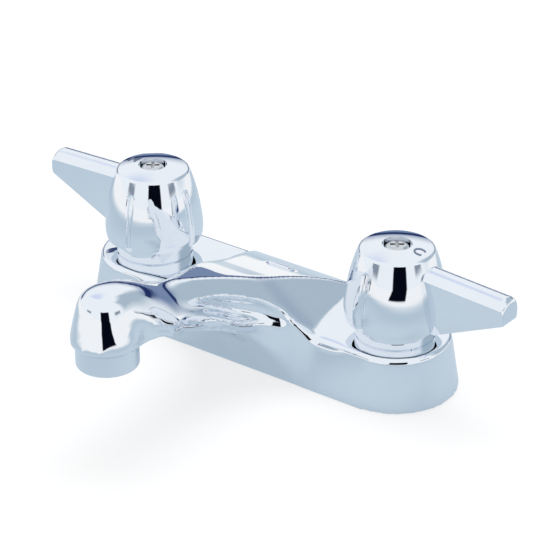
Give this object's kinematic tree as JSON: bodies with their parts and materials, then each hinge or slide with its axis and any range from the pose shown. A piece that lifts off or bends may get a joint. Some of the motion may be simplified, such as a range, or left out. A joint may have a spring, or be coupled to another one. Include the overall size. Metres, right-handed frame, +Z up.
{
  "type": "bathroom faucet",
  "caption": "Deck-mounted centreset basin faucet with a short cast spout, aerator and lever handles on quarter-turn valves.",
  "frame": {"origin": "centre of the base's underside, on the counter, midway between the two inlets", "axes": "+X towards the cold (right) lever, -Y the way the spout points, +Z up"},
  "size_m": [0.1898, 0.1198, 0.0566],
  "materials": {
    "chrome_body": "polished chrome plate on cast brass",
    "chrome_handle": "polished chrome plate on cast metal",
    "chrome_trim": "polished chrome plate on turned brass",
    "steel_screw": "bright stainless steel",
    "steel_clip": "spring steel",
    "steel_screen": "woven stainless wire",
    "brass_valve": "machined brass",
    "black_rubber": "matt rubber",
    "ceramic": "lapped ceramic",
    "fibre": "pressed fibre",
    "white_plastic": "moulded plastic"
  },
  "bodies": {
    "faucet_body": {"body": "chrome_body", "aerator_housing": "chrome_trim", "aerator_mixer": "white_plastic", "aerator_screen": "steel_screen", "aerator_washer": "black_rubber", "cold_fixed_disc": "ceramic", "cold_seat_seal": "black_rubber", "cold_bonnet": "brass_valve", "cold_bonnet_washer": "fibre", "cold_trim_ring": "chrome_trim", "hot_fixed_disc": "ceramic", "hot_seat_seal": "black_rubber", "hot_bonnet": "brass_valve", "hot_bonnet_washer": "fibre", "hot_trim_ring": "chrome_trim"},
    "cold_valve": {"cold_handle": "chrome_handle", "cold_handle_screw": "steel_screw", "cold_stem": "brass_valve", "cold_stem_seal": "black_rubber", "cold_stem_clip": "steel_clip", "cold_turning_disc": "ceramic"},
    "hot_valve": {"hot_handle": "chrome_handle", "hot_handle_screw": "steel_screw", "hot_stem": "brass_valve", "hot_stem_seal": "black_rubber", "hot_stem_clip": "steel_clip", "hot_turning_disc": "ceramic"}
  },
  "joints": [
    {"name": "cold_turn", "type": "hinge", "parent": "faucet_body", "child": "cold_valve", "pos_m": [0.0508, 0, 0.0251], "axis": [0, 0, 1], "range_deg": [-90, 0]},
    {"name": "hot_turn", "type": "hinge", "parent": "faucet_body", "child": "hot_valve", "pos_m": [-0.0508, 0, 0.0251], "axis": [0, 0, 1], "range_deg": [0, 90]}
  ]
}
